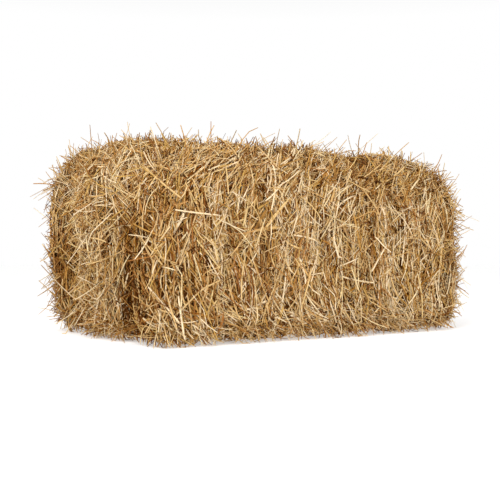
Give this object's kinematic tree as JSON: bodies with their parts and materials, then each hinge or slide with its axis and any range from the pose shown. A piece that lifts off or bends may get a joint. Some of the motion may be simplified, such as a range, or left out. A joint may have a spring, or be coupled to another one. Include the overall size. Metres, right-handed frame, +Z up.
{
  "type": "square straw bale",
  "caption": "Small square straw bale on its wide side: pressed flakes held by two lengthwise loops of twine, with loose stalks sticking out.",
  "frame": {"origin": "centre of the bale's box on the surface it lies on, with the loose stalks counted", "axes": "+X along the bale, the way the twine runs; +Y across it; +Z up, across the pressed height"},
  "size_m": [0.8654, 0.5786, 0.42],
  "materials": {
    "straw": "dry cereal straw, dull with a slight sheen on whole stalks",
    "twine": "twisted sisal fibre, matt"
  },
  "bodies": {
    "root": {"flake_01": "straw", "flake_02": "straw", "flake_03": "straw", "flake_04": "straw", "flake_05": "straw", "flake_06": "straw", "flake_07": "straw", "flake_08": "straw", "flake_09": "straw", "flake_10": "straw", "flake_11": "straw", "twine_front": "twine", "twine_back": "twine"}
  },
  "joints": []
}
